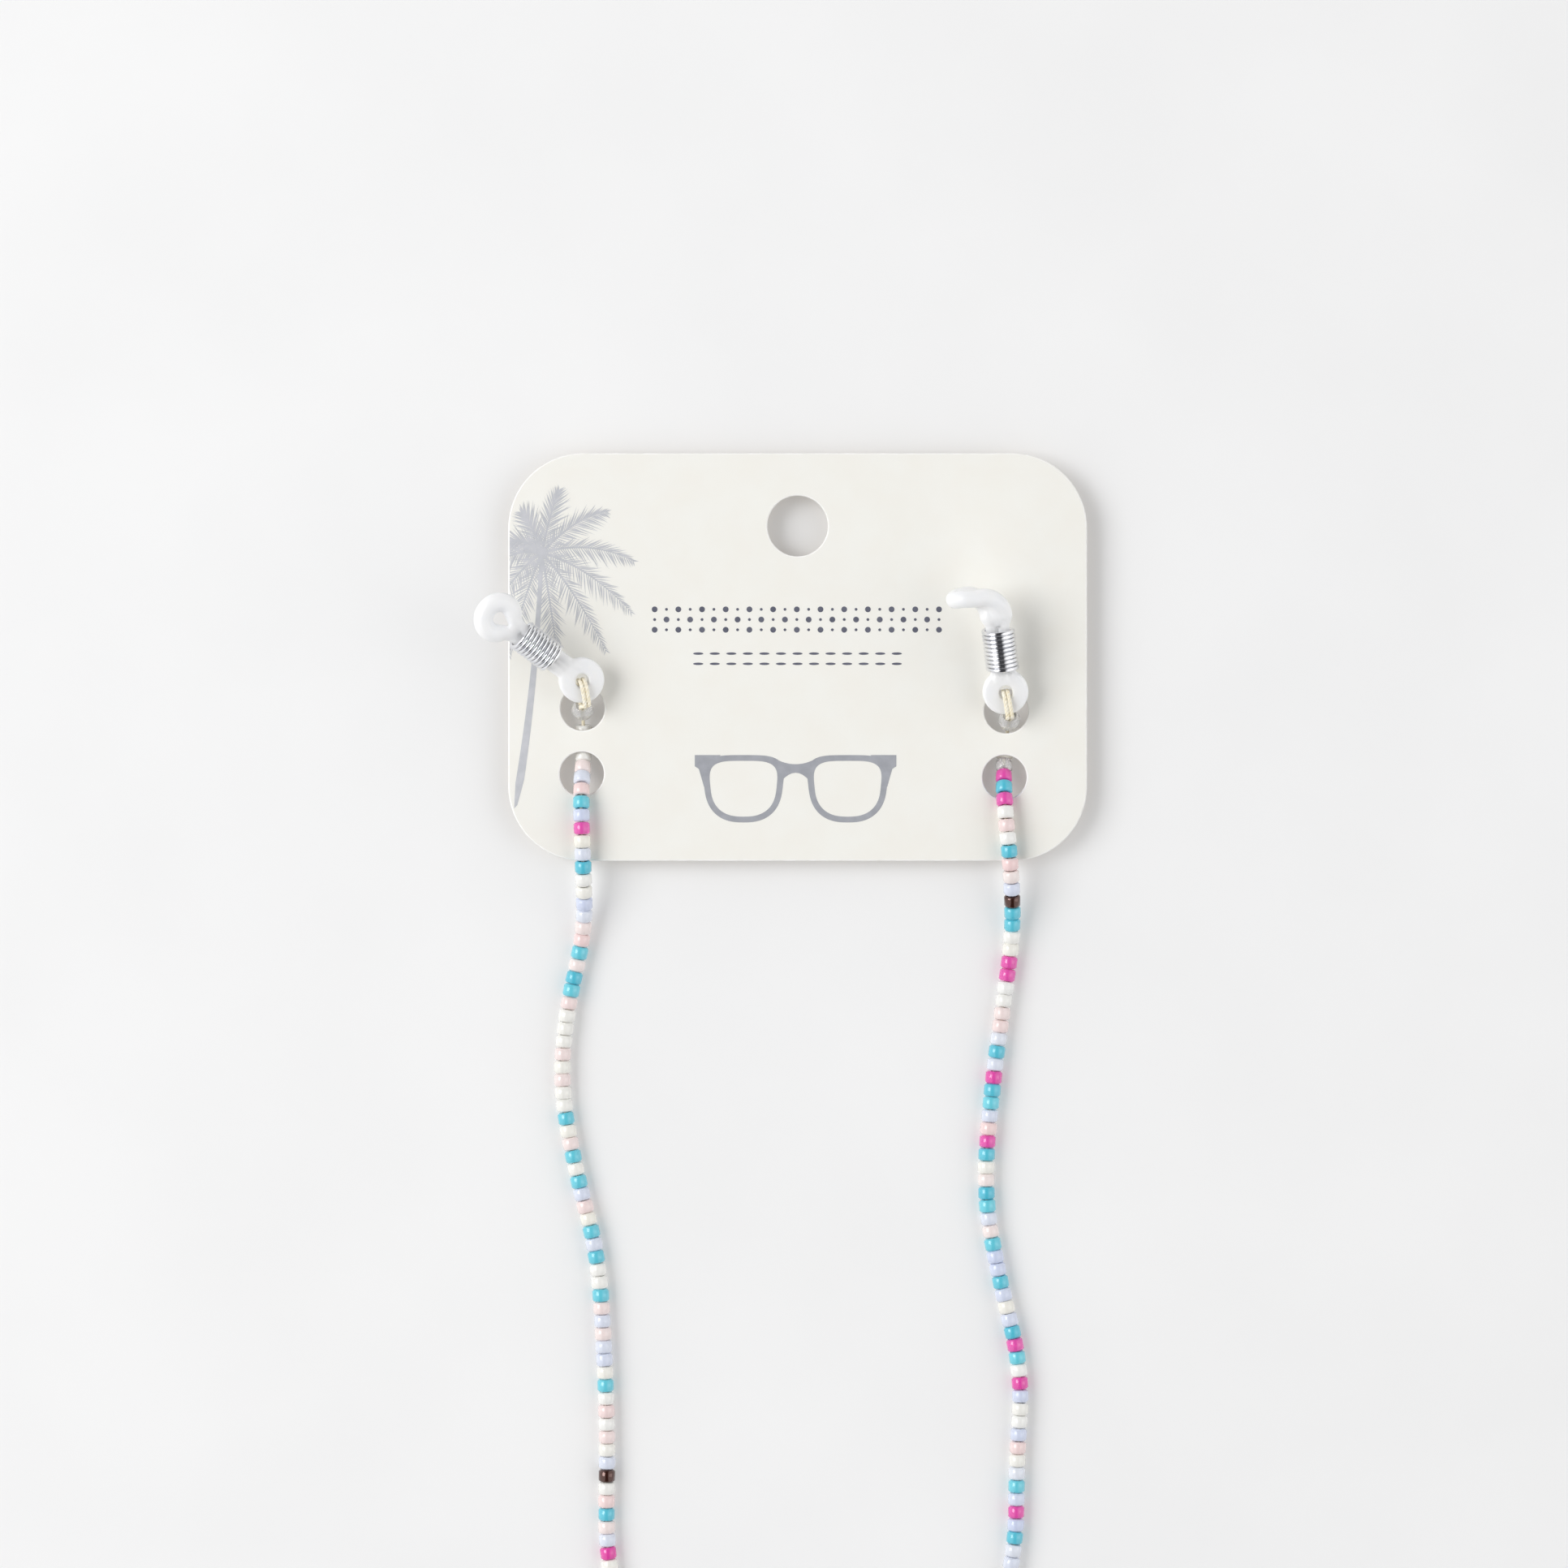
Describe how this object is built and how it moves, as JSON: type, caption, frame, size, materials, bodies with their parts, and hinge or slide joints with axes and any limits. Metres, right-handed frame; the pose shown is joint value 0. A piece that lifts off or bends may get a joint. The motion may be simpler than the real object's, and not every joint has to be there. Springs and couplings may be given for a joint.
{
  "type": "eyeglass retainer strap",
  "caption": "Beaded glasses cord threaded through its display card, with a soft temple loop and a sliding cinch spring at each end.",
  "frame": {"origin": "centre of the card's hang hole, halfway through the card", "axes": "+X right and +Y towards the card's top edge as it is read, +Z out of the printed face; the cord lies on a surface 3.35 mm below the origin"},
  "size_m": [0.0894, 0.2086, 0.0139],
  "materials": {
    "card_stock": "satin coated board, pale cream",
    "clear_silicone": "translucent white, soft",
    "plated_wire": "bright plated",
    "cream_thread": "waxed, cream",
    "clear_glass": "polished",
    "teal_glass": "opaque, polished",
    "magenta_glass": "clear with a magenta lining",
    "blush_glass": "clear with a blush lining",
    "ivory_glass": "pearl ivory",
    "ice_blue_glass": "clear with an ice blue lining",
    "bronze_glass": "opaque metallic brown",
    "coiled_strand": "mixed beads, seen as one bundle",
    "tie_band": "plain white band"
  },
  "bodies": {
    "card_and_strand": {"display_card": "card_stock", "left_tie_thread": "cream_thread", "right_tie_thread": "cream_thread", "left_end_bead": "clear_glass", "right_end_bead": "clear_glass", "left_thread": "cream_thread", "right_thread": "cream_thread", "teal_beads": "teal_glass", "magenta_beads": "magenta_glass", "blush_beads": "blush_glass", "ivory_beads": "ivory_glass", "ice_blue_beads": "ice_blue_glass", "bronze_beads": "bronze_glass", "clear_beads": "clear_glass", "left_hidden_beads": "ivory_glass", "right_hidden_beads": "ivory_glass", "strand_coil": "coiled_strand", "coil_tie": "tie_band"},
    "left_end": {"left_temple_loop": "clear_silicone"},
    "right_end": {"right_temple_loop": "clear_silicone"},
    "left_cinch": {"left_cinch_spring": "plated_wire"},
    "right_cinch": {"right_cinch_spring": "plated_wire"}
  },
  "joints": [
    {"name": "left_end_swivel", "type": "hinge", "parent": "card_and_strand", "child": "left_end", "pos_m": [-0.0316, -0.0227, 0.0039], "axis": [0.2468, -0.186, 0.9511], "range_deg": [-60, 60]},
    {"name": "right_end_swivel", "type": "hinge", "parent": "card_and_strand", "child": "right_end", "pos_m": [0.03035, -0.0244, 0.0036], "axis": [0.0324, -0.2397, 0.9703], "range_deg": [-60, 60]},
    {"name": "left_cinch_slide", "type": "slide", "parent": "left_end", "child": "left_cinch", "axis": [-0.7595, 0.5724, 0.309], "range_m": [-0.002, 0.0008]},
    {"name": "right_cinch_slide", "type": "slide", "parent": "right_end", "child": "right_cinch", "axis": [-0.13, 0.9615, 0.2419], "range_m": [0, 0.0008]}
  ]
}
